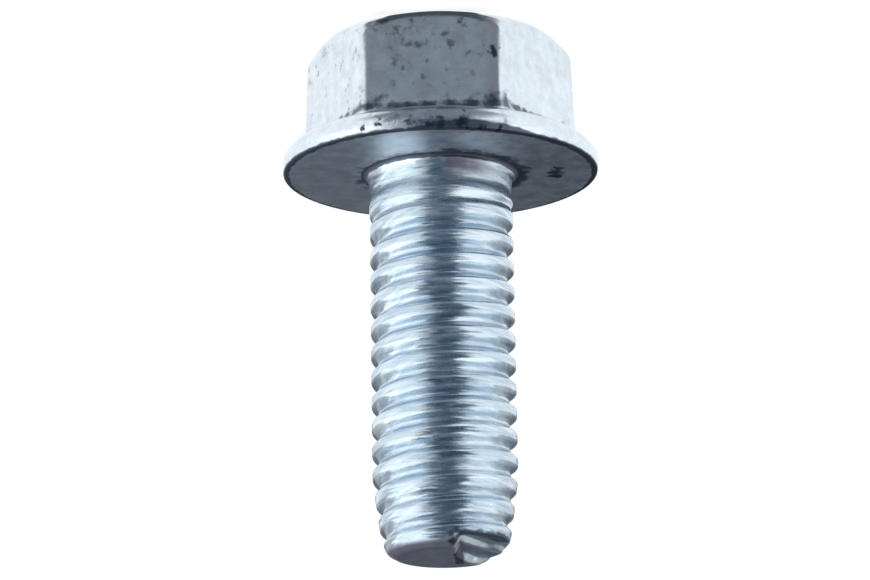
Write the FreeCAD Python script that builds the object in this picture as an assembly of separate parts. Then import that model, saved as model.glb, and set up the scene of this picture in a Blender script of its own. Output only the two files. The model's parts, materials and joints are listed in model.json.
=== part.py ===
"""Hex flange thread-forming screw, M6 x 16, standing on its head with the point up.

Millimetres. Z is the screw's axis. The origin is the centre of the head's flat top,
which faces down, and +Z runs through the head and the shank to the point.
"""
import FreeCAD
import Part

import math
import os

from FreeCAD import Vector

# Thread and shank
thread_diameter = 5.8
thread_pitch = 1.0
thread_depth = 0.3
thread_root_flat = 0.2
flank_angle = 30.0
thread_start_angle = 36.0
thread_fade_turns = 1.5
lead_root_drop = 0.3
neck_diameter = 5.6
neck_length = 0.95
under_head_flare = 0.28
shank_length = 15.8

# Tapered lead and point
lead_length = 2.4
lead_diameter = 5.16
point_diameter = 4.6
point_chamfer_length = 0.5
point_edge_chamfer = 0.28

# Flange
flange_diameter = 12.84
flange_height = 1.05
flange_rim_bulge = 0.08
flange_top_slope = 12.0
flange_top_crown = 0.02
rim_lower_chamfer = 0.12
rim_upper_chamfer = 0.24

# Hexagon head
head_height = 5.5
across_flats = 9.65
hex_draft = 2.0
hex_corner_radius = 0.35
top_chamfer_angle = 30.0
top_chamfer_crown = 0.02
top_face_diameter = 8.95

bearing_z = head_height
point_z = bearing_z + shank_length
flange_radius = flange_diameter / 2
thread_radius = thread_diameter / 2
neck_radius = neck_diameter / 2
root_radius = thread_radius - thread_depth


def tangent(degrees):
    return math.tan(math.radians(degrees))


# Where the neck ends, and where the blank has reached the thread's outer size
neck_z = bearing_z + neck_length
thread_z = neck_z + (thread_radius - neck_radius) / tangent(flank_angle)

# Where the flange's sloping top starts, beside the chamfer of its rim
rim_radius = flange_radius - flange_rim_bulge
shoulder_radius = rim_radius - rim_upper_chamfer
shoulder_z = bearing_z - flange_height


def flange_top_z(radius):
    """Height of the flange's sloping top at this radius."""
    return shoulder_z - (shoulder_radius - radius) * tangent(flange_top_slope)


def polyline(points):
    """Straight edges through (radius, z) points of a half section."""
    at = [Vector(r, 0, z) for r, z in points]
    return [Part.makeLine(a, b) for a, b in zip(at, at[1:])]


def crowned_edge(start, end, crown):
    """A slightly domed edge between two (radius, z) points, standing out to their right."""
    first = Vector(start[0], 0, start[1])
    last = Vector(end[0], 0, end[1])
    outward = Vector(last.z - first.z, 0, first.x - last.x).normalize()
    curve = Part.BezierCurve()
    curve.setPoles([first, (first + last) / 2 + outward * 2 * crown, last])
    return curve.toShape()


def turned(edges):
    """A solid of revolution about Z from the edges of a closed half section."""
    face = Part.Face(Part.Wire(edges))
    return face.revolve(Vector(0, 0, 0), Vector(0, 0, 1), 360)


def make_flange():
    """Washer-faced flange: flat bearing face, barrel-shaped rim and domed sloping top."""
    low_z = bearing_z - rim_lower_chamfer
    high_z = shoulder_z + rim_upper_chamfer
    rim = Part.Arc(
        Vector(rim_radius, 0, low_z),
        Vector(flange_radius, 0, (low_z + high_z) / 2),
        Vector(rim_radius, 0, high_z),
    ).toShape()
    shoulder = (shoulder_radius, shoulder_z)
    peak = (0, flange_top_z(0))
    edges = polyline([
        peak,
        (0, bearing_z),
        (rim_radius - rim_lower_chamfer, bearing_z),
        (rim_radius, low_z),
    ])
    upper_edge = polyline([(rim_radius, high_z), shoulder])
    top = crowned_edge(peak, shoulder, flange_top_crown)
    return turned(edges + [rim] + upper_edge + [top])


def hexagon_corners(flats, z):
    """The corners of a hexagon with a flat facing -Y, with the first one repeated."""
    corner = flats / 2 / math.cos(math.radians(30))
    angles = [math.radians(60 * i) for i in range(7)]
    return [Vector(corner * math.cos(a), corner * math.sin(a), z) for a in angles]


def flat_face(corners):
    return Part.Face(Part.makePolygon(corners))


def hexagonal_block(low_flats, low_z, high_flats, high_z):
    """A block with six plane sides between two hexagons."""
    low = hexagon_corners(low_flats, low_z)
    high = hexagon_corners(high_flats, high_z)
    faces = [flat_face(low[::-1]), flat_face(high)]
    for i in range(6):
        faces.append(flat_face([low[i], low[i + 1], high[i + 1], high[i], low[i]]))
    shell = Part.Shell(faces)
    shell.sewShape()
    return Part.Solid(shell)


def make_hexagon_head():
    """Drafted hexagon with rounded corners and a slightly domed chamfer round its top face."""
    base_z = bearing_z - flange_height / 2
    foot_z = flange_top_z(across_flats / 2)
    base_flats = across_flats + 2 * (base_z - foot_z) * tangent(hex_draft)
    top_flats = across_flats - 2 * foot_z * tangent(hex_draft)
    block = hexagonal_block(top_flats, 0, base_flats, base_z)
    upright = [e for e in block.Edges if abs(e.Vertexes[0].Z - e.Vertexes[1].Z) > base_z / 2]
    block = block.makeFillet(hex_corner_radius, upright)
    top_edge = (top_face_diameter / 2, 0)
    wide_radius = 1.2 * base_flats / 2
    wide_edge = (wide_radius, (wide_radius - top_edge[0]) * tangent(top_chamfer_angle))
    outline = polyline([
        wide_edge,
        (wide_radius, wide_edge[1] + head_height),
        (0, wide_edge[1] + head_height),
        (0, 0),
        top_edge,
    ])
    chamfered = turned(outline + [crowned_edge(top_edge, wide_edge, top_chamfer_crown)])
    return block.common(chamfered)


def make_shank_blank():
    """Flare under the head, plain neck, thread cylinder, tapered lead and blunt point."""
    sink_z = bearing_z - flange_height / 2
    flare_r = neck_radius + under_head_flare
    edge_z = point_z - point_edge_chamfer
    chamfer_z = edge_z - point_chamfer_length
    point_radius = point_diameter / 2
    return turned(polyline([
        (0, sink_z),
        (flare_r, sink_z),
        (flare_r, bearing_z),
        (neck_radius, bearing_z + under_head_flare),
        (neck_radius, neck_z),
        (thread_radius, thread_z),
        (thread_radius, chamfer_z - lead_length),
        (lead_diameter / 2, chamfer_z),
        (point_radius, edge_z),
        (point_radius - point_edge_chamfer, point_z),
        (0, point_z),
        (0, sink_z),
    ]))


def helix_derivative(order, radius, radius_rise, turn):
    """Derivative by turns of (r cos, r sin) where the radius grows evenly with the turn."""
    rate = 2 * math.pi
    values = []
    for quarter in (0, -1):
        angle = rate * turn + (quarter + order) * math.pi / 2
        value = radius * rate ** order * math.cos(angle)
        if order:
            value += order * radius_rise * rate ** (order - 1) * math.cos(angle - math.pi / 2)
        values.append(value)
    return values


def helix_span(first_turn, last_turn, first_radius, last_radius, z_offset):
    """One smooth curve along a helix, as a Bezier that matches four derivatives at each end."""
    matched = 4
    degree = 2 * matched + 1
    span = last_turn - first_turn
    rise = (last_radius - first_radius) / span
    poles = [None] * (degree + 1)
    for turn, radius, sign in ((first_turn, first_radius, 1), (last_turn, last_radius, -1)):
        differences = []
        for order in range(matched + 1):
            x, y = helix_derivative(order, radius, rise, turn)
            z = (z_offset + thread_pitch * turn, thread_pitch, 0, 0, 0)[order]
            scale = (sign * span) ** order * math.factorial(degree - order) / math.factorial(degree)
            differences.append(Vector(x, y, z) * scale)
        for step in range(matched + 1):
            pole = Vector(0, 0, 0)
            for order in range(step + 1):
                pole += differences[order] * math.comb(step, order)
            poles[step if sign > 0 else degree - step] = pole
    curve = Part.BezierCurve()
    curve.setPoles(poles)
    return curve.toShape()


def groove_lift(turn):
    """How far the groove lies outside its place: it rises at the neck and sinks at the point."""
    clear = thread_depth * 1.1
    fade = clear * max(0, 1 - turn / thread_fade_turns)
    to_point = (point_z - thread_z) / thread_pitch
    lead_turns = (lead_length + point_chamfer_length) / thread_pitch
    sunk = min(1, max(0, 1 - (to_point - turn) / lead_turns))
    return fade - lead_root_drop * sunk


def make_thread_groove():
    """Helical groove with sloping flanks, in half turns, from the neck past the point."""
    overshoot = 0.05
    mouth_radius = thread_radius + overshoot
    half_root = thread_root_flat / 2
    half_mouth = half_root + (mouth_radius - root_radius) * tangent(flank_angle)
    section = [
        (root_radius, -half_root),
        (mouth_radius, -half_mouth),
        (mouth_radius, half_mouth),
        (root_radius, half_root),
    ]
    half_turns = math.ceil(2 * (point_z + thread_pitch / 2 - thread_z) / thread_pitch)
    faces = []
    for i in range(half_turns):
        first = i / 2
        last = first + 0.5
        rails = []
        for radius, z in section:
            rails.append(helix_span(first, last, radius + groove_lift(first),
                                    radius + groove_lift(last), z))
        for rail, following in zip(rails, rails[1:] + rails[:1]):
            faces.append(Part.makeRuledSurface(rail, following))
    for turn in (0, half_turns / 2):
        angle = 2 * math.pi * turn
        corners = []
        for radius, z in section + section[:1]:
            r = radius + groove_lift(turn)
            corners.append(Vector(r * math.cos(angle), r * math.sin(angle), z + thread_pitch * turn))
        faces.append(flat_face(corners))
    groove = Part.Solid(Part.Shell(faces))
    if groove.Volume < 0:
        groove.reverse()
    groove.rotate(Vector(0, 0, 0), Vector(0, 0, 1), thread_start_angle)
    groove.translate(Vector(0, 0, thread_z))
    return groove


def make_screw():
    shank = make_shank_blank().cut(make_thread_groove())
    return make_flange().fuse(make_hexagon_head()).fuse(shank).removeSplitter().Solids[0]


def save(shape, node):
    os.makedirs("parts", exist_ok=True)
    shape.exportStep("parts/" + node + ".step")


screw = make_screw()
print("screw:", screw.ShapeType, "solids", len(screw.Solids), "valid", screw.isValid(),
      "volume", round(screw.Volume, 3), "mm3")
save(screw, "screw")
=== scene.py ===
import json
import math
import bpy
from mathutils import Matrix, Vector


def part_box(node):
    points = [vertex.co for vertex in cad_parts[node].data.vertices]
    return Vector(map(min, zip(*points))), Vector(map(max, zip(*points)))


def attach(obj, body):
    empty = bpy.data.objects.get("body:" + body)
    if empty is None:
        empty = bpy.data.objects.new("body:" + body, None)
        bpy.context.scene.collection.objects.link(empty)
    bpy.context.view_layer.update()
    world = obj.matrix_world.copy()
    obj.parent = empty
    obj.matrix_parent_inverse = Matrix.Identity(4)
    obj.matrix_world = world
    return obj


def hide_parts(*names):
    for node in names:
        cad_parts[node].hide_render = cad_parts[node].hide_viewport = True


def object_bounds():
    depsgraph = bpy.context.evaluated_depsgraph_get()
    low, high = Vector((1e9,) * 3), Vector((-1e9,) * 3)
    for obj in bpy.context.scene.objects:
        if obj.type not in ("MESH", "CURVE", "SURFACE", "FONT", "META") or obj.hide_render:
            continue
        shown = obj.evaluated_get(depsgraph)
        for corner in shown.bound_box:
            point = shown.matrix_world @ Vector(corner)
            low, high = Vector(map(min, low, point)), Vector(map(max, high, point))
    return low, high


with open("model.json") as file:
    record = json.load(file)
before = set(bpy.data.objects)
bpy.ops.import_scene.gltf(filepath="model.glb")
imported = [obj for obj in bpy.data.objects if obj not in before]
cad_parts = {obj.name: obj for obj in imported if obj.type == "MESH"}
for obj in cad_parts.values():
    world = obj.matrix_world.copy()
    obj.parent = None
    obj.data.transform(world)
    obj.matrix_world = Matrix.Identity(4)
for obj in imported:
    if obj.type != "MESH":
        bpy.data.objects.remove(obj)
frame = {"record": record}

from types import SimpleNamespace

import bpy
from mathutils import Matrix, Vector

cad_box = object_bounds()

MM = 0.001

# Sizes in millimetres, in the same frame as the solid: +Z runs from the head to the point
low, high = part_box("screw")
mounts = {mount["name"]: mount for mount in frame["record"]["mounts"]}
head_height = mounts["bearing_face"]["pos_m"][2] / MM
thread_radius = mounts["thread"]["dims"]["r_mm"]
point_z = high[2] / MM
flange_radius = (high[0] - low[0]) / 2 / MM

thread_pitch = 1.0
thread_depth = 0.3
root_half_flat = 0.1
flank_angle = math.radians(30)
thread_start_angle = 36.0
thread_fade_turns = 1.5
fade_clearance = 1.1
neck_radius = 2.8
neck_length = 0.95
under_head_flare = 0.28
lead_length = 2.4
lead_radius = 2.58
lead_root_drop = 0.3
point_radius = 2.3
point_chamfer = 0.5
point_edge = 0.28
end_flat_radius = 1.75

flange_height = 1.05
rim_bulge = 0.08
rim_lower_edge = 0.12
rim_upper_edge = 0.24
flange_slope = math.tan(math.radians(12))
across_flats = 9.65
hex_draft = math.tan(math.radians(2))
hex_corner_radius = 0.35
hex_sector = math.radians(60)
top_chamfer_slope = math.tan(math.radians(30))
top_radius = 4.475

root_radius = thread_radius - thread_depth
neck_z = head_height + neck_length
thread_z = neck_z + (thread_radius - neck_radius) / math.tan(flank_angle)
rim_radius = flange_radius - rim_bulge
shoulder_radius = rim_radius - rim_upper_edge
shoulder_z = head_height - flange_height

# Fine roundings of the head, from its top to the flange. The last three size the one between the
# chamfer and a side, which grows with the chamfer's height towards the hexagon's corners
top_edge_rounding = 0.18
hex_foot_rounding = 0.3
shoulder_rounding = 0.28
rim_rounding = 0.4
lower_rim_rounding = 0.14
bearing_edge_rounding = 0.08
side_edge_rounding = 0.14
side_edge_growth = 0.8
flat_chamfer_height = 0.2

# A rounded outline cuts its corners, so these corners stand out a little
shoulder_inset = 0.05
rim_fullness = 0.035
rim_bulge_shift = 0.05
lower_rim_fullness = 0.02
lower_rim_share = 0.3

# The soft flare where the head meets the neck
flare_foot = 0.11
flare_rounding = 0.1
flare_bend_out = 0.05
flare_bend_height = 0.13

# Fine roundings of the shank
neck_rounding = 0.3
thread_start_rounding = 0.2
lead_start_rounding = 0.4
chamfer_rounding = 0.3
point_rounding = 0.16
bend_shift = 0.05
point_fullness = 0.06
crest_rounding = 0.2
root_rounding = 0.16

# The last groove, which runs out deeper on one side of the point
deep_angle = math.radians(-137)
deep_half_angle = math.radians(50)
deep_drop = 0.4
deep_start_z = point_z - 0.55
deep_full_z = point_z - 0.4

# The sheared corner of the point, which drops in two steps where the last groove runs out
shear_place = Vector((-0.75, -1.25))
shear_facing = Vector((-0.84, -0.54))
shear_side = 0.5
shear_side_softness = 0.15
back_step = -1.0
back_step_depth = 0.32
front_step = 0.2
front_step_depth = 0.24
step_half_run = 0.18
break_rounding = 0.12
least_rounding = 0.001

# Unevenness of the break as two ripples: height, and how fast each runs along X and Y
break_ripples = ((0.05, 7, 2), (0.012, -4, 10))

# Mesh density
columns_per_flat = 24
corner_columns = 8
corner_half_angle = math.radians(2.6)
rows_per_pitch = 20
end_rings = 42
end_margin = 0.12
head_straight_steps = (0.03, 0.25, 0.5, 0.75, 0.97, 1.0)
head_round_steps = 5
shank_straight_steps = [k / 40 for k in range(1, 41)]
shank_round_steps = 8


def mix(a, b, t):
    return a + (b - a) * t


def smoothstep(a, b, x):
    """A soft rise from 0 at a to 1 at b, or a fall where a is the larger."""
    t = min(1, max(0, (x - a) / (b - a)))
    return t * t * (3 - 2 * t)


def band(start, full, fading, gone, x):
    """A soft rise from start to full, and a soft fall from fading to gone."""
    return smoothstep(start, full, x) * (1 - smoothstep(fading, gone, x))


def soft_min(a, b, width):
    """The smaller of two values, with a rounded change from one to the other."""
    t = min(1, max(0, 0.5 + 0.5 * (b - a) / width))
    return mix(b, a, t) - width * t * (1 - t)


def soft_max(a, b, width):
    return -soft_min(-a, -b, width)


def angle_between(a, b):
    return abs((a - b + math.pi) % (2 * math.pi) - math.pi)


def softened(corners, straight_steps, round_steps):
    """Points along a polyline of (r, z, rounding) corners, with its corners rounded."""
    under_half = 0.49
    places = [Vector((r, z)) for r, z, _ in corners]
    points = [places[0].copy()]
    exit_point = places[0]
    for i in range(1, len(corners)):
        here = places[i]
        back = places[i - 1] - here
        size = corners[i][2]
        if i == len(corners) - 1 or size == 0:
            entry = here
            leave = here
        else:
            ahead = places[i + 1] - here
            reach = min(size, back.length * under_half, ahead.length * under_half)
            entry = here + back.normalized() * reach
            leave = here + ahead.normalized() * reach
        for t in straight_steps:
            points.append(exit_point.lerp(entry, t))
        if leave is not here:
            for k in range(1, round_steps + 1):
                t = k / round_steps
                points.append(entry.lerp(here, t).lerp(here.lerp(leave, t), t))
        exit_point = leave
    return points


# The head

def hexagon_radius(angle, half_flats):
    """Distance from the axis to a hexagon with rounded corners, one flat facing -Y."""
    turn = (angle + math.radians(90)) % hex_sector
    from_flat = min(turn, hex_sector - turn)
    inner = half_flats - hex_corner_radius
    tangent_angle = math.atan(inner * math.tan(hex_sector / 2) / half_flats)
    if from_flat <= tangent_angle:
        return half_flats / math.cos(from_flat)
    from_corner = hex_sector / 2 - from_flat
    centre = inner / math.cos(hex_sector / 2)
    side = centre * math.sin(from_corner)
    return centre * math.cos(from_corner) + math.sqrt(hex_corner_radius ** 2 - side ** 2)


def column_angles():
    """Angles of the mesh's columns, closer together at the hexagon's corners."""
    corner_step = 2 * corner_half_angle / corner_columns
    flat_step = (hex_sector - 2 * corner_half_angle) / columns_per_flat
    angles = []
    for side in range(6):
        corner = side * hex_sector
        angles += [corner - corner_half_angle + corner_step * k for k in range(corner_columns)]
        angles += [corner + corner_half_angle + flat_step * k for k in range(columns_per_flat)]
    return angles


def flange_top_z(radius):
    return shoulder_z - (shoulder_radius - radius) * flange_slope


def head_profile(angle):
    """The head's half section in one direction, from the top's centre to the neck."""
    foot_half = across_flats / 2

    def side_radius(above_foot):
        return hexagon_radius(angle, foot_half - above_foot * hex_draft)

    flat_foot_z = flange_top_z(foot_half)
    edge_z = (side_radius(flat_foot_z) - top_radius) * top_chamfer_slope
    edge_z = (side_radius(flat_foot_z - edge_z) - top_radius) * top_chamfer_slope
    edge_rounding = side_edge_rounding + side_edge_growth * (edge_z - flat_chamfer_height)
    foot_radius = side_radius(0)
    foot_z = flange_top_z(foot_radius)
    shoulder = shoulder_radius - shoulder_inset
    bulge_z = (shoulder_z + head_height) / 2 - rim_bulge_shift
    flare_radius = neck_radius + flare_foot
    corners = [
        (0, 0, 0),
        (top_radius, 0, top_edge_rounding),
        (side_radius(foot_z - edge_z), edge_z, edge_rounding),
        (foot_radius, foot_z, hex_foot_rounding),
        (shoulder, flange_top_z(shoulder), shoulder_rounding),
        (flange_radius + rim_fullness, bulge_z, rim_rounding),
        (rim_radius + lower_rim_fullness, head_height - rim_lower_edge * lower_rim_share,
         lower_rim_rounding),
        (rim_radius - rim_lower_edge, head_height, bearing_edge_rounding),
        (neck_radius + under_head_flare, head_height, flare_rounding),
        (flare_radius + flare_bend_out, head_height + flare_bend_height, flare_rounding),
        (flare_radius, head_height + under_head_flare, 0),
    ]
    return softened(corners, head_straight_steps, head_round_steps)


# The shank: a turned blank, and the groove that leaves the thread

def blank_section():
    """Closely spaced points along the shank's outline, from the neck to the point's flat."""
    edge_z = point_z - point_edge
    chamfer_z = edge_z - point_chamfer
    corners = [
        (neck_radius + flare_foot, head_height + under_head_flare, 0),
        (neck_radius, neck_z - bend_shift, neck_rounding),
        (thread_radius, thread_z + bend_shift, thread_start_rounding),
        (thread_radius, chamfer_z - lead_length, lead_start_rounding),
        (lead_radius, chamfer_z, chamfer_rounding),
        (point_radius + point_fullness, edge_z + point_fullness, point_rounding),
        (point_radius - point_edge - point_fullness, point_z, point_rounding),
        (end_flat_radius, point_z, 0),
    ]
    return softened(corners, shank_straight_steps, shank_round_steps)


blank_points = blank_section()
blank_lengths = [0.0]
for before, after in zip(blank_points, blank_points[1:]):
    blank_lengths.append(blank_lengths[-1] + (after - before).length)


def blank_at(length):
    """Radius and height of the blank's outline at a length along it."""
    first = 0
    last = len(blank_lengths) - 1
    while last - first > 1:
        middle = (first + last) // 2
        if blank_lengths[middle] <= length:
            first = middle
        else:
            last = middle
    span = blank_lengths[last] - blank_lengths[first]
    t = (length - blank_lengths[first]) / span if span else 0
    return blank_points[first].lerp(blank_points[last], min(1, max(0, t)))


def groove_drop(z, angle):
    """How much deeper the groove lies near the point: all round, and more on one side."""
    lead = smoothstep(point_z - lead_length - point_chamfer, point_z, z)
    aside = smoothstep(0.4, 1.0, angle_between(angle, deep_angle) / deep_half_angle)
    deep = (1 - aside) * smoothstep(deep_start_z, deep_full_z, z)
    return lead_root_drop * lead + deep_drop * deep


def threaded_radius(blank_radius, z, angle):
    """The blank's radius, or the groove's where that lies deeper."""
    turn = (math.degrees(angle) - thread_start_angle) / 360
    along = (z - thread_z) / thread_pitch
    offset = (along - turn) - round(along - turn)
    turns_in = along - offset
    lift = thread_depth * fade_clearance * max(0, 1 - turns_in / thread_fade_turns)
    flank = (abs(offset) * thread_pitch - root_half_flat) / math.tan(flank_angle)
    groove = root_radius + lift - groove_drop(z, angle) + soft_max(0, flank, root_rounding)
    return soft_min(blank_radius, groove, crest_rounding)


def shear_distance(x, y):
    """How far a place lies towards the sheared corner, with the unevenness of a break."""
    across = (Vector((x, y)) - shear_place).dot(shear_facing)
    return across + sum(height * math.sin(a * x + b * y) for height, a, b in break_ripples)


def end_height(x, y):
    """Height of the point's end: flat, with one corner sheared off in two steps."""
    across = shear_distance(x, y)
    sunk = 0
    for place, depth in ((back_step, back_step_depth), (front_step, front_step_depth)):
        sunk += depth * smoothstep(place - step_half_run, place + step_half_run, across)
    side = smoothstep(shear_side - shear_side_softness, shear_side + shear_side_softness, -x)
    return point_z - sunk * side


class ShankGrid:
    """Rows that follow the thread, closed by a wedge of rows at the neck and at the point."""

    def __init__(self, angles):
        self.angles = angles
        self.count = len(angles)
        self.end = blank_lengths[-1]
        all_rows = int((self.end - end_margin) / thread_pitch * rows_per_pitch)
        self.regular = all_rows - rows_per_pitch
        self.last = all_rows
        self.start = self.end - thread_pitch * (self.regular / rows_per_pitch + 1)
        self.numbers = {}
        self.places = []

    def length_at(self, row, fraction):
        if row <= 0:
            return self.start + thread_pitch * fraction * (row + rows_per_pitch) / rows_per_pitch
        if row <= self.regular:
            return self.start + thread_pitch * (row / rows_per_pitch + fraction)
        left = 1 - (row - self.regular) / rows_per_pitch
        return self.end - thread_pitch * (1 - fraction) * left

    def place_at(self, row, column):
        angle = self.angles[column]
        fraction = (angle - self.angles[0]) / math.radians(360)
        radius, z = blank_at(self.length_at(row, fraction))
        radius = threaded_radius(radius, z, angle)
        x = radius * math.cos(angle)
        y = radius * math.sin(angle)
        end = end_height(x, y)
        rounding = least_rounding + min(break_rounding, point_z - end)
        return x, y, soft_min(z, end, rounding)

    def vertex(self, row, column):
        """Number of the point at a row and column. A turn further on, a row is a pitch up."""
        if column == self.count:
            column = 0
            row = self.last if row >= self.regular else row + rows_per_pitch
        if column == 0 and row <= 0:
            row = -rows_per_pitch
        key = (row, column)
        if key not in self.numbers:
            self.numbers[key] = len(self.places)
            self.places.append(self.place_at(row, column))
        return self.numbers[key]

    def ring(self, row):
        return [self.vertex(row, column) for column in range(self.count)]


def shank_faces(grid):
    """Faces between the grid's rows, which are triangles where a wedge of rows closes."""
    faces = []
    for row in range(-rows_per_pitch, grid.last):
        for column in range(grid.count):
            corners = [grid.vertex(row, column), grid.vertex(row, column + 1),
                       grid.vertex(row + 1, column + 1), grid.vertex(row + 1, column)]
            face = tuple(dict.fromkeys(corners))
            if len(face) > 2:
                faces.append(face)
    return faces


def ring_faces(inner, outer):
    """Faces between two rings of points."""
    count = len(inner)
    faces = []
    for c in range(count):
        d = (c + 1) % count
        faces.append((inner[c], outer[c], outer[d], inner[d]))
    return faces


def fan_faces(centre, ring):
    """Triangles between a ring of points and its centre."""
    return [(centre, a, b) for a, b in zip(ring, ring[1:] + ring[:1])]


def add_head(places, angles, neck_ring):
    """Adds rings of points from the top's centre to the neck, and gives their faces."""
    profiles = [head_profile(angle) for angle in angles]
    rings = []
    for k in range(1, len(profiles[0])):
        rings.append(list(range(len(places), len(places) + len(angles))))
        for angle, profile in zip(angles, profiles):
            radius, z = profile[k]
            places.append((radius * math.cos(angle), radius * math.sin(angle), z))
    faces = fan_faces(len(places), rings[0][::-1])
    places.append((0, 0, 0))
    rings.append(neck_ring)
    for upper, lower in zip(rings, rings[1:]):
        faces += ring_faces(lower, upper)
    return faces


def add_end(places, end_ring):
    """Adds rings of points over the point's end, torn corner and all, and gives their faces."""
    faces = []
    previous = end_ring
    for step in range(1, end_rings):
        share = 1 - step / end_rings
        ring = list(range(len(places), len(places) + len(end_ring)))
        for outer in end_ring:
            x = places[outer][0] * share
            y = places[outer][1] * share
            places.append((x, y, end_height(x, y)))
        faces += ring_faces(ring, previous)
        previous = ring
    faces += fan_faces(len(places), previous)
    places.append((0, 0, point_z))
    return faces


def screw_mesh():
    """The whole screw as one closed mesh: head, threaded shank and blunt end."""
    angles = column_angles()
    grid = ShankGrid(angles)
    faces = shank_faces(grid)
    places = grid.places
    faces += add_head(places, angles, grid.ring(-rows_per_pitch))
    faces += add_end(places, grid.ring(grid.last))

    mesh = bpy.data.meshes.new("screw_body")
    mesh.from_pydata([tuple(v * MM for v in p) for p in places], [], faces)
    mesh.validate()
    mesh.polygons.foreach_set("use_smooth", [True] * len(mesh.polygons))
    mesh.update()
    return mesh


# The wear and the painted shade and light, as values on the mesh's points. The photograph's right
# is -X, and its front is -Y

# Limits in millimetres that tell the places of the wear and of the painted shade apart
least_radius = 0.01
shank_limit = 3.3
rim_start = 5.9
below_bearing = -0.1
break_depth = 0.6
thread_end_depth = 0.7
thread_start_height = 1.1
front_flat_right = 2.66

# Strengths of the wear and of the painted shade and light, where 1 is full
head_streak = 0.12
foot_shadow = 0.66
break_shadow = 0.8
run_out_shadow = 0.9
# Painted shade, with a duller finish, on the point's end, the bearing face's right and the collar;
# lit_share is the painted light that eases it
end_shade_and_dullness = 1.7
right_shade_and_dullness = 1.6
lit_share = 0.15
collar_shade_and_dullness = 1.6
# Painted shade on the thread's flanks at the shank's sides
flank_shade = 1.4
lead_groove = 0.45
flange_smudge = 0.5
collar_violet = 0.6
end_violet = 0.8


class Spot:
    """A point of the mesh, in millimetres, with what its wear and painted shade depend on."""

    def __init__(self, vertex):
        self.x, self.y, self.z = (v / MM for v in vertex.co)
        self.right = -self.x
        self.facing_up = vertex.normal.z
        self.radius = math.hypot(self.x, self.y)
        self.in_front = self.y < 0
        self.facing_front = max(0, -self.y / self.radius) if self.radius > least_radius else 0
        self.sideways = abs(self.x) / max(self.radius, least_radius)
        self.above_head = self.z - head_height
        self.below_point = point_z - self.z
        self.on_shank = self.radius < shank_limit and self.above_head > 0


def on_hexagon_side(spot):
    return band(0.1, 0.4, 3.9, 4.6, spot.z)


def on_torn_edge(spot):
    """The edges of the two steps in the sheared corner."""
    across = shear_distance(spot.x, spot.y)
    from_step = min(abs(across - back_step), abs(across - front_step))
    at_step = 1 - smoothstep(0.2, 0.35, from_step)
    return at_step * smoothstep(0.65, 0.8, spot.right) * (spot.below_point < break_depth)


def on_collar(spot):
    """The front of the plain neck, right of its middle."""
    across = band(0.0, 0.5, 1.4, 2.7, spot.right)
    along = band(0.0, 0.1, 0.4, 1.0, spot.above_head)
    return across * along * spot.in_front * spot.on_shank


def speckle_at(spot):
    """Pits: most on the hexagon's front, fewer on its other sides and on the rim."""
    towards_foot = mix(1.0, 0.6, smoothstep(1.2, 3.2, spot.z))
    towards_left = mix(0.8, 1.1, smoothstep(-2.5, 1.0, spot.x))
    beside = 0.68 if spot.x > 0 else 0.4
    share = mix(beside, 1.0, smoothstep(0.8, 0.96, spot.facing_front))
    hexagon = on_hexagon_side(spot) * share * towards_foot * towards_left
    front_of_rim = smoothstep(0.75, 0.97, spot.facing_front)
    rim = smoothstep(5.6, 6.0, spot.radius) * mix(0.25, 0.75, front_of_rim)
    return max(hexagon, rim)


def streak_at(spot):
    """Lines of the rolling: on the shank up to its end, and hardly on the head."""
    if not spot.on_shank:
        return head_streak
    on_end = smoothstep(0.9, 0.7, spot.below_point) * (1 - smoothstep(2.0, 2.1, spot.radius))
    return smoothstep(0.1, 0.4, spot.above_head) * (1 - on_end)


def dark_rim_edge(spot):
    """Painted shade along the rim's lower edge, thicker in front and right of the middle."""
    thin_start = -0.18
    thick_start = -0.4
    softness = 0.14
    thick = band(-0.6, 0.6, 2.5, 4.2, spot.right)
    start = mix(thin_start, thick_start, thick * spot.in_front)
    edge = smoothstep(start, start + softness, spot.above_head)
    return edge * smoothstep(6.05, 6.2, spot.radius)


# Painted shadow in the crease along the hexagon's foot
def dark_hexagon_foot(spot):
    return band(3.75, 3.95, 4.12, 4.3, spot.z) * (spot.radius < rim_start)


def dark_junction(spot):
    """Painted shadow: a ring on the bearing face round the neck, wider on the right."""
    reach = mix(3.35, 3.8, smoothstep(-0.6, 0.6, spot.right))
    ring = band(2.92, 3.0, 3.15, reach, spot.radius)
    low = (1 - smoothstep(0.08, 0.2, spot.above_head)) * (spot.above_head > below_bearing)
    return ring * low


def dark_break(spot):
    """Painted shade on the side of the break, across the middle of the point's end."""
    across = band(0.2, 0.4, 0.55, 0.75, spot.right)
    along = band(-1.3, -0.7, 1.1, 1.4, spot.y)
    return across * along * (spot.below_point < break_depth)


def dark_run_out(spot):
    """Painted shade where the last groove runs out deeper into the point's edge."""
    turned = angle_between(math.atan2(spot.y, spot.x), deep_angle)
    edge = smoothstep(0.85, 0.55, spot.below_point) * smoothstep(1.95, 2.05, spot.radius)
    return edge * (1 - smoothstep(0.55, 1.0, turned / deep_half_angle))


# All the painted shadows together
def shadow_at(spot):
    return max(
        dark_rim_edge(spot),
        dark_junction(spot),
        foot_shadow * dark_hexagon_foot(spot),
        break_shadow * dark_break(spot),
        run_out_shadow * dark_run_out(spot),
    )


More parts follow.
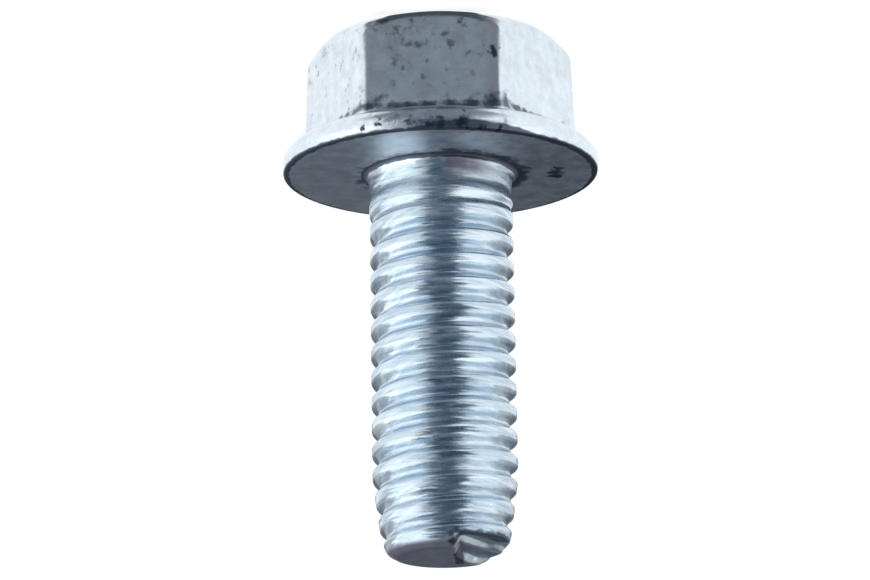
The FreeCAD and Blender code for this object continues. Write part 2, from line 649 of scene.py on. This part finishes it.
def dull_and_shade_at(spot):
    """Painted shade with a duller finish: the faces that look along +Z, which are the bearing
    face, darker on the right, and the point's end; and the collar.
    """
    flat = smoothstep(0.35, 0.85, spot.facing_up)
    if spot.on_shank:
        on_end = smoothstep(0.6, 0.4, spot.below_point) * (1 - on_torn_edge(spot))
        flat *= end_shade_and_dullness * on_end
    elif spot.above_head > below_bearing:
        # A painted pool of light on the bearing face, in front and left of the neck, eases its
        # painted shade
        lit = smoothstep(1.7, 0.3, math.hypot(spot.x - 1.3, (spot.y + 4.4) / 1.2))
        flat *= mix(1.0, right_shade_and_dullness, smoothstep(-0.2, 2.6, spot.right)) * (1 - lit_share * lit)
    return max(flat, collar_shade_and_dullness * on_collar(spot))


def groove_shade_at(spot):
    """Painted shade in the thread's grooves, stronger at the shank's two sides, and on its flanks
    there. The lead is darker too.
    """
    if not spot.on_shank:
        return 0
    taper = min(1, max(0, (lead_length + point_chamfer - spot.below_point) / lead_length))
    crest = mix(thread_radius, lead_radius, taper)
    depth = smoothstep(0.03, 0.28, crest - spot.radius) * smoothstep(1.1, 1.7, spot.above_head)
    depth *= mix(0.5, 1.0, smoothstep(0.75, 1.0, abs(spot.x) / neck_radius))
    flank = smoothstep(0.1, 0.45, spot.facing_up) * (spot.above_head > thread_start_height)
    flank *= flank_shade * smoothstep(0.78, 0.97, spot.sideways)
    lead = lead_groove * smoothstep(8.5, 15.0, spot.above_head)
    return max(max(depth, flank) * (spot.below_point > thread_end_depth), lead)


def smudge_at(spot):
    """Grime on the front of the flange, near its middle."""
    across = smoothstep(2.1, 1.2, spot.x) * smoothstep(-1.6, -0.9, spot.x)
    along = smoothstep(4.2, 4.5, spot.z) * (spot.above_head < -0.05)
    on_rim = smoothstep(5.6, 5.9, spot.radius)
    return flange_smudge * across * along * on_rim * spot.in_front


def violet_at(spot):
    """A violet tinge: the right edge of the front flat, the collar and the point's end."""
    flat_edge = smoothstep(2.0, 2.5, spot.right) * (spot.right < front_flat_right)
    flat_edge *= on_hexagon_side(spot) * (spot.z < 4.1) * spot.in_front
    tip = smoothstep(0.5, 0.2, spot.below_point) * (1 - on_torn_edge(spot))
    return max(flat_edge, collar_violet * on_collar(spot), end_violet * tip)


# Several of these kinds are painted shade, not wear: the shadows, the darkened grooves and the
# darkened faces that look along +Z
wear_and_shade_kinds = {
    "speckle": speckle_at,
    "streak": streak_at,
    "shadow": shadow_at,
    "dull": dull_and_shade_at,
    "groove": groove_shade_at,
    "smudge": smudge_at,
    "violet": violet_at,
}


def add_wear_and_shade_attributes(mesh):
    spots = [Spot(vertex) for vertex in mesh.vertices]
    for name, mark_at in wear_and_shade_kinds.items():
        layer = mesh.attributes.new(name, "FLOAT", "POINT")
        layer.data.foreach_set("value", [mark_at(spot) for spot in spots])


# Materials

class Graph:
    """A new material, and short ways to add its nodes."""

    def __init__(self, name):
        self.material = bpy.data.materials.new(name)
        self.material.use_nodes = True
        self.tree = self.material.node_tree
        self.tree.nodes.clear()
        self.output = self.node("ShaderNodeOutputMaterial")

    def node(self, kind, **settings):
        node = self.tree.nodes.new(kind)
        for key, value in settings.items():
            setattr(node, key, value)
        return node

    def feed(self, socket, value):
        """Links a socket to another node's output, or sets it to a constant."""
        if isinstance(value, bpy.types.NodeSocket):
            self.tree.links.new(value, socket)
        else:
            socket.default_value = value

    def finish(self, shader):
        self.feed(self.output.inputs["Surface"], shader)
        return self.material

    def math(self, operation, a, b):
        node = self.node("ShaderNodeMath", operation=operation)
        self.feed(node.inputs[0], a)
        self.feed(node.inputs[1], b)
        return node.outputs[0]

    def add(self, a, b):
        return self.math("ADD", a, b)

    def multiply(self, a, b):
        return self.math("MULTIPLY", a, b)

    def vector(self, operation, a, b=(0, 0, 0)):
        node = self.node("ShaderNodeVectorMath", operation=operation)
        self.feed(node.inputs[0], a)
        self.feed(node.inputs[1], b)
        return node.outputs["Value" if operation in ("DISTANCE", "DOT_PRODUCT") else "Vector"]

    def noise(self, place, scale, detail, roughness=0.5, output="Fac"):
        node = self.node("ShaderNodeTexNoise")
        self.feed(node.inputs["Vector"], place)
        node.inputs["Scale"].default_value = scale
        node.inputs["Detail"].default_value = detail
        node.inputs["Roughness"].default_value = roughness
        return node.outputs[output]

    def ramp(self, value, low_end, high_end, low_value=0.0, high_value=1.0):
        node = self.node("ShaderNodeMapRange", interpolation_type="SMOOTHSTEP")
        self.feed(node.inputs["Value"], value)
        node.inputs["From Min"].default_value = low_end
        node.inputs["From Max"].default_value = high_end
        node.inputs["To Min"].default_value = low_value
        node.inputs["To Max"].default_value = high_value
        return node.outputs["Result"]

    def blend(self, amount, a, b, kind="MIX"):
        node = self.node("ShaderNodeMix", data_type="RGBA", blend_type=kind)
        self.feed(node.inputs["Factor"], amount)
        colours = [socket for socket in node.inputs if socket.type == "RGBA"]
        self.feed(colours[0], a)
        self.feed(colours[1], b)
        return next(socket for socket in node.outputs if socket.type == "RGBA")

    def attribute(self, name):
        return self.node("ShaderNodeAttribute", attribute_name=name).outputs["Fac"]


# Colours of the zinc, of what lies on it and of its painted shade
zinc_grey = (0.71, 0.79, 0.855, 1)
zinc_white = (0.82, 0.90, 0.945, 1)
zinc_tinge = (0.74, 0.75, 0.83, 1)
thread_blue = (0.55, 0.70, 0.83, 1)
# The colour of the painted shade in the thread's grooves
groove_shade_blue = (0.24, 0.30, 0.39, 1)
line_blue = (0.36, 0.46, 0.56, 1)
scratch_white = (0.86, 0.94, 0.99, 1)
patch_grey = (0.46, 0.49, 0.53, 1)
grime_grey = (0.32, 0.37, 0.44, 1)
violet_tone = (0.60, 0.55, 0.66, 1)
pale_spot = (0.94, 0.95, 0.96, 1)
pit_grey = (0.21, 0.25, 0.30, 1)
shadow_blue = (0.045, 0.065, 0.105, 1)
stain_blue = (0.025, 0.045, 0.085, 1)
# The tone that multiplies the colour where shade is painted
shade_tone = (0.30, 0.30, 0.34, 1)


def stain_marks():
    """Dark stains along the front of the rim, on one flat and on the bearing face, each as an
    angle in degrees, a radius, a height and a size."""
    rim = flange_radius
    return [
        (-80.5, rim - 0.5, 4.75, 0.28),
        (-84.0, rim - 0.05, 5.15, 0.24),
        (-89.5, rim, 5.34, 0.27),
        (-93.5, rim, 5.36, 0.33),
        (-94.5, rim - 0.1, 5.1, 0.2),
        (-101.5, rim, 5.3, 0.32),
        (-101.0, rim - 0.3, 4.9, 0.2),
        (-72.0, rim, 5.1, 0.17),
        (-66.0, rim, 5.2, 0.15),
        (-107.5, rim, 5.45, 0.22),
        (-114.5, rim, 5.42, 0.2),
        (-117.2, 5.34, 1.84, 0.24),
        (173.0, 4.68, head_height, 0.3),
        (179.1, 4.71, head_height, 0.36),
        (-175.0, 4.76, head_height, 0.3),
    ]


def stains(graph, place):
    """Ragged spots at the stains' places."""
    noise = graph.noise(place, scale=3.2, detail=2, output="Color")
    wander = graph.vector("SUBTRACT", noise, (0.5, 0.5, 0.5))
    ragged = graph.vector("ADD", place, graph.vector("MULTIPLY", wander, (0.7, 0.7, 0.7)))
    stain = 0.0
    for angle, radius, z, size in stain_marks():
        turn = math.radians(angle)
        centre = (radius * math.cos(turn), radius * math.sin(turn), z)
        distance = graph.vector("DISTANCE", ragged, centre)
        near = graph.ramp(distance, size * 0.45, size * 1.15, 1.0, 0.0)
        stain = graph.math("MAXIMUM", stain, near)
    return stain


def pits(graph, place, speckle, spots):
    """Dark pits in clouds, where the wear has speckles."""
    clear_level = 0.645
    level_drop = 0.13
    cloud = graph.ramp(graph.noise(place, scale=0.55, detail=3), 0.35, 0.65, 0.5, 1.1)
    density = graph.multiply(speckle, cloud)
    threshold = graph.math("SUBTRACT", clear_level, graph.multiply(density, level_drop))
    pit = graph.ramp(graph.math("SUBTRACT", spots, threshold), 0.0, 0.15)
    return graph.multiply(pit, graph.ramp(speckle, 0.1, 0.9))


def slanted_scratches(graph, place):
    """Long marks that lean across the lines of the rolling."""
    lean = graph.vector("DOT_PRODUCT", place, (-0.32, -0.32, 0.85))
    coarse = graph.vector("MULTIPLY", place, (0.5, 0.5, 0.5))
    slanted = graph.vector("ADD", coarse, graph.vector("MULTIPLY", (3.5, 0.0, 2.0), lean))
    return graph.noise(slanted, scale=1.1, detail=3, roughness=0.55)


def zinc_marks(graph, place):
    """How strongly each mark shows at a place: the mesh's wear and painted shade, noises and both
    together.
    """
    marks = SimpleNamespace(**{name: graph.attribute(name) for name in wear_and_shade_kinds})
    marks.mottle = graph.noise(place, scale=1.7, detail=4, roughness=0.6)
    marks.spots = graph.noise(place, scale=2.3, detail=3)
    squeezed = graph.vector("MULTIPLY", place, (0.55, 0.55, 7.5))
    marks.lines = graph.noise(squeezed, scale=1.6, detail=4, roughness=0.6)
    marks.scratches = slanted_scratches(graph, place)
    marks.pits = pits(graph, place, marks.speckle, marks.spots)
    marks.stain = stains(graph, place)
    marks.dark_lines = graph.multiply(graph.ramp(marks.lines, 0.62, 0.38), marks.streak)
    return marks


def tinge_amount(graph, place):
    elsewhere = graph.vector("ADD", place, (2.0, 7.0, 1.0))
    cloud = graph.noise(elsewhere, scale=0.8, detail=3)
    return graph.ramp(cloud, 0.5, 0.72, 0.0, 0.55)


def pale_amount(graph, place, marks):
    elsewhere = graph.vector("ADD", place, (9.1, 3.7, 5.2))
    pale_spots = graph.ramp(graph.noise(elsewhere, scale=2.6, detail=2), 0.55, 0.72)
    return graph.multiply(pale_spots, marks.speckle)


def patch_amount(graph, place, marks):
    cloud = graph.noise(place, scale=1.1, detail=4, roughness=0.65)
    return graph.multiply(graph.ramp(cloud, 0.40, 0.62), graph.add(marks.speckle, marks.dull))


def grime_amount(graph, place, marks):
    cloud = graph.noise(place, scale=2.0, detail=4, roughness=0.7)
    return graph.multiply(graph.ramp(cloud, 0.36, 0.56), marks.smudge)


def shade_amount(graph, marks):
    """The painted shadows, with torn edges."""
    tear = graph.multiply(graph.math("SUBTRACT", marks.spots, 0.5), 1.6)
    torn = graph.ramp(graph.add(marks.shadow, tear), 0.2, 0.8)
    return graph.multiply(torn, graph.ramp(marks.shadow, 0.0, 0.3))


def zinc_colour(graph, place, marks):
    """The mottled zinc, under its layers of (amount, strength, colour) from first to last."""
    colour = graph.blend(graph.ramp(marks.mottle, 0.35, 0.65), zinc_grey, zinc_white)
    colour = graph.blend(tinge_amount(graph, place), colour, zinc_tinge)
    light_scratches = graph.multiply(graph.ramp(marks.scratches, 0.46, 0.62), marks.streak)
    layers = [
        (marks.streak, 0.7, thread_blue),
        # Painted shade in the thread's grooves and flanks, and the darker lead
        (marks.groove, 0.52, groove_shade_blue),
        (marks.dark_lines, 0.5, line_blue),
        (light_scratches, 0.5, scratch_white),
        (patch_amount(graph, place, marks), 0.45, patch_grey),
        (grime_amount(graph, place, marks), 0.8, grime_grey),
        (marks.violet, 0.55, violet_tone),
        (pale_amount(graph, place, marks), 0.45, pale_spot),
        (marks.pits, 0.85, pit_grey),
        # Painted shadows: the rim's lower edge, the hexagon's foot, round the neck and on the
        # point's end
        (shade_amount(graph, marks), 0.88, shadow_blue),
        (marks.stain, 0.93, stain_blue),
    ]
    for amount, strength, layer_colour in layers:
        colour = graph.blend(graph.multiply(amount, strength), colour, layer_colour)
    # Painted shade on the bearing face, the point's end and the collar
    return graph.blend(graph.multiply(marks.dull, 0.48), colour, shade_tone, "MULTIPLY")


def zinc_roughness(graph, marks):
    """Smooth zinc, and how much rougher each mark makes it."""
    rough = graph.ramp(marks.mottle, 0.3, 0.7, 0.15, 0.24)
    rougher = [
        (marks.pits, 0.2),
        (marks.dull, 0.2),
        (marks.shadow, 0.25),
        (marks.stain, 0.3),
        (marks.dark_lines, 0.08),
        (marks.streak, 0.03),
    ]
    for amount, extra in rougher:
        rough = graph.add(rough, graph.multiply(amount, extra))
    return rough


def zinc_relief(graph, place, marks):
    """Height of the grain, with the lines and scratches on it and the pits in it."""
    grain = graph.noise(place, scale=9.0, detail=3, roughness=0.6)
    height = graph.multiply(grain, 0.35)
    for brushed, share in ((marks.lines, 1.3), (marks.scratches, 1.2)):
        height = graph.add(height, graph.multiply(graph.multiply(brushed, marks.streak), share))
    return graph.math("SUBTRACT", height, graph.multiply(marks.pits, 0.5))


def brushed_normal(graph, marks):
    """The normal, turned sideways by the lines, which tears the edges of reflections."""
    line_sway = graph.multiply(graph.math("SUBTRACT", marks.lines, 0.5), 0.68)
    scratch_sway = graph.multiply(graph.math("SUBTRACT", marks.scratches, 0.5), 0.4)
    sway = graph.multiply(graph.add(line_sway, scratch_sway), marks.streak)
    normal = graph.node("ShaderNodeNewGeometry").outputs["Normal"]
    sideways = graph.vector("CROSS_PRODUCT", normal, (0, 0, 1))
    tilted = graph.vector("ADD", normal, graph.vector("MULTIPLY", sideways, sway))
    return graph.vector("NORMALIZE", tilted)


def zinc_material():
    """Bright bluish zinc: mottled, speckled with dark pits, stained on the rim, streaked along
    the thread, with painted shade in its grooves and creases and on the faces that look along +Z."""
    graph = Graph("zinc_plate")
    coordinate = graph.node("ShaderNodeTexCoord").outputs["Object"]
    place = graph.vector("MULTIPLY", coordinate, (1 / MM, 1 / MM, 1 / MM))
    marks = zinc_marks(graph, place)

    bump = graph.node("ShaderNodeBump")
    graph.feed(bump.inputs["Strength"], 0.22)
    graph.feed(bump.inputs["Distance"], 0.03 * MM)
    graph.feed(bump.inputs["Height"], zinc_relief(graph, place, marks))
    graph.feed(bump.inputs["Normal"], brushed_normal(graph, marks))

    shader = graph.node("ShaderNodeBsdfPrincipled")
    graph.feed(shader.inputs["Metallic"], 1.0)
    graph.feed(shader.inputs["Base Color"], zinc_colour(graph, place, marks))
    graph.feed(shader.inputs["Roughness"], zinc_roughness(graph, marks))
    graph.feed(shader.inputs["Normal"], bump.outputs["Normal"])
    return graph.finish(shader.outputs["BSDF"])


def floor_material():
    """White paper: plain diffuse with a part of its white kept for what sees it directly."""
    paper_grey = (0.32, 0.32, 0.32, 1)
    paper_glow = 0.8
    graph = Graph("floor_paper")
    diffuse = graph.node("ShaderNodeBsdfDiffuse")
    graph.feed(diffuse.inputs["Color"], paper_grey)
    path = graph.node("ShaderNodeLightPath").outputs
    seen = graph.math("MAXIMUM", path["Is Camera Ray"], path["Is Glossy Ray"])
    seen = graph.math("MAXIMUM", seen, path["Is Transmission Ray"])
    glow = graph.node("ShaderNodeEmission")
    graph.feed(glow.inputs["Strength"], graph.multiply(seen, paper_glow))
    both = graph.node("ShaderNodeAddShader")
    graph.feed(both.inputs[0], diffuse.outputs[0])
    graph.feed(both.inputs[1], glow.outputs[0])
    return graph.finish(both.outputs[0])


def flag_material():
    """Dark card with soft sides, in the shades that its mesh gives."""
    graph = Graph("flag_card")
    tone = graph.node("ShaderNodeAttribute", attribute_name="tone")
    glow = graph.node("ShaderNodeEmission")
    graph.feed(glow.inputs["Color"], tone.outputs["Color"])
    clear = graph.node("ShaderNodeBsdfTransparent")
    soft_side = graph.node("ShaderNodeMixShader")
    graph.feed(soft_side.inputs["Fac"], graph.ramp(graph.attribute("across"), 0.45, 1.0))
    graph.feed(soft_side.inputs[1], glow.outputs[0])
    graph.feed(soft_side.inputs[2], clear.outputs[0])
    return graph.finish(soft_side.outputs[0])


# Stage

def add_object(name, data):
    thing = bpy.data.objects.new(name, data)
    bpy.context.scene.collection.objects.link(thing)
    return thing


def add_floor(floor_z):
    half = 600 * MM
    corners = [(-half, -half, floor_z), (half, -half, floor_z),
               (half, half, floor_z), (-half, half, floor_z)]
    mesh = bpy.data.meshes.new("floor")
    mesh.from_pydata(corners, [], [(0, 1, 2, 3)])
    mesh.materials.append(floor_material())
    floor = add_object("floor", mesh)


# Shades of the card that the metal reflects
# A dark tone laid as painted shade on the floor at the head's front edge
under_head_shade = (0.07, 0.08, 0.095)
hexagon_grey = (0.245, 0.27, 0.295)
rim_blue = (0.21, 0.26, 0.33)
shank_blue = (0.03, 0.06, 0.095)
overhead_blue = (0.09, 0.125, 0.17)
back_grey = (0.20, 0.21, 0.225)


def flag_arch(radius):
    """The card's route over the screw, from the front to the back."""
    steps = 24
    front_half_width = 112.0
    back_half_width = 120.0
    waist = 0.28
    front_shift = -30.0
    back_shift = 9.0
    route = []
    for step in range(1, steps):
        share = step / steps
        angle = math.pi * share
        y = -radius * math.cos(angle)
        z = radius * math.sin(angle)
        widest = mix(front_half_width, back_half_width, share)
        half_width = widest * (1 - waist * math.sin(angle))
        shift = mix(front_shift, back_shift, share)
        shade = [mix(a, b, share ** 3) for a, b in zip(overhead_blue, back_grey)]
        route.append((y, z, half_width, shift, shade))
    return route


def flag_route():
    """The card's line from the front, over the screw, to the back: y, z, half width, side shift,
    shade."""
    radius = 150.0
    lift = 0.2
    front = [
        # These first rows lie on the floor at the head's front edge: a dark sheet as painted
        # shade, for the shadow that the floor's glow leaves out
        (-4.2, 0.03, 3.6, 0.0, under_head_shade),
        (-5.15, 0.05, 4.2, 0.0, under_head_shade),
        (-5.3, 0.1, 7.0, 0.0, hexagon_grey),
        (-17.0, lift, 11.0, -1.0, hexagon_grey),
        (-22.0, lift, 15.0, -2.0, rim_blue),
        (-30.0, lift, 22.0, -4.0, rim_blue),
        (-38.0, lift, 41.0, -8.0, shank_blue),
        (-60.0, lift, 64.0, -16.0, shank_blue),
        (-radius, lift, 132.0, -42.0, shank_blue),
    ]
    back = [
        (radius, lift, 110.0, 9.0, back_grey),
        (60.0, lift, 26.0, 4.0, back_grey),
        (30.0, lift, 10.0, 2.0, back_grey),
    ]
    return front + flag_arch(radius) + back


def add_flag():
    """A dark card that only the gloss of the metal sees."""
    route = flag_route()
    shares = (-1, -0.72, -0.45, 0, 0.45, 0.72, 1)
    columns = len(shares)
    places = []
    tones = []
    for y, z, half_width, shift, shade in route:
        for share in shares:
            places.append(((shift + half_width * share) * MM, y * MM, z * MM))
            tones.extend((*shade, 1.0))
    faces = []
    for i in range(len(route) - 1):
        for k in range(columns - 1):
            a = i * columns + k
            faces.append((a, a + 1, a + 1 + columns, a + columns))
    mesh = bpy.data.meshes.new("flag")
    mesh.from_pydata(places, [], faces)
    across = mesh.attributes.new("across", "FLOAT", "POINT")
    across.data.foreach_set("value", [abs(share) for share in shares] * len(route))
    tone = mesh.attributes.new("tone", "FLOAT_COLOR", "POINT")
    tone.data.foreach_set("color", tones)
    mesh.materials.append(flag_material())
    flag = add_object("flag", mesh)
    flag.visible_camera = False
    flag.visible_diffuse = False
    flag.visible_shadow = False


def add_world():
    daylight = (0.95, 0.98, 1.0, 1)
    daylight_strength = 0.6
    world = bpy.data.worlds.new("studio")
    world.use_nodes = True
    background = world.node_tree.nodes["Background"]
    background.inputs["Color"].default_value = daylight
    background.inputs["Strength"].default_value = daylight_strength
    bpy.context.scene.world = world


def add_softbox(name, side, power):
    """A large lamp in front of the screw and above it, on the side that the sign gives."""
    size = 280.0
    place = Vector((side * 170.0, -60.0, 110.0))
    target = Vector((0, 0, 10.0))
    light = bpy.data.lights.new(name, "AREA")
    light.shape = "RECTANGLE"
    light.size = size * MM
    light.size_y = size * MM
    light.energy = power
    lamp = add_object(name, light)
    lamp.location = place * MM
    lamp.rotation_euler = (target - place).to_track_quat("-Z", "Y").to_euler()


# Camera: the photograph shows the screw head up, so the camera is rolled by half a turn

def add_camera():
    """A camera that sees the target at its place in the photograph, at the photograph's scale."""
    distance = 164.0
    elevation = math.radians(14.55)
    azimuth = math.radians(-3.5)
    roll = math.radians(0.9)
    pixels_per_mm = 24.966
    picture_width = 870
    picture_height = 580
    target_x = 443.21
    target_y = 342.73
    sensor = 36.0
    target = Vector((0, 0, head_height + 7.0))
    towards = Vector((math.sin(azimuth) * math.cos(elevation),
                      -math.cos(azimuth) * math.cos(elevation), math.sin(elevation)))
    eye = target + towards * distance
    level_right = (-towards).cross(Vector((0, 0, 1))).normalized()
    level_up = level_right.cross(-towards)
    right = -math.cos(roll) * level_right + math.sin(roll) * level_up
    up = -math.sin(roll) * level_right - math.cos(roll) * level_up
    aim = (target - right * ((target_x - picture_width / 2) / pixels_per_mm)
           + up * ((target_y - picture_height / 2) / pixels_per_mm))
    back = (eye - aim).normalized()
    right = (right - back * right.dot(back)).normalized()
    up = back.cross(right)
    camera_data = bpy.data.cameras.new("camera")
    camera_data.sensor_width = sensor
    camera_data.lens = pixels_per_mm * distance * sensor / picture_width
    camera_data.clip_start = 0.01
    camera_data.clip_end = 5.0
    camera = add_object("camera", camera_data)
    turn = Matrix((right, up, back)).transposed().to_4x4()
    camera.matrix_world = Matrix.Translation(eye * MM) @ turn
    bpy.context.scene.camera = camera


screw = add_object("screw_body", screw_mesh())
add_wear_and_shade_attributes(screw.data)
screw.data.materials.append(zinc_material())
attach(screw, "root")
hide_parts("screw")

add_floor(cad_box[0][2])
add_flag()
add_world()
add_softbox("left_softbox", 1, 0.24)
add_softbox("right_softbox", -1, 0.15)
add_camera()

bpy.context.scene.view_settings.view_transform = "Standard"
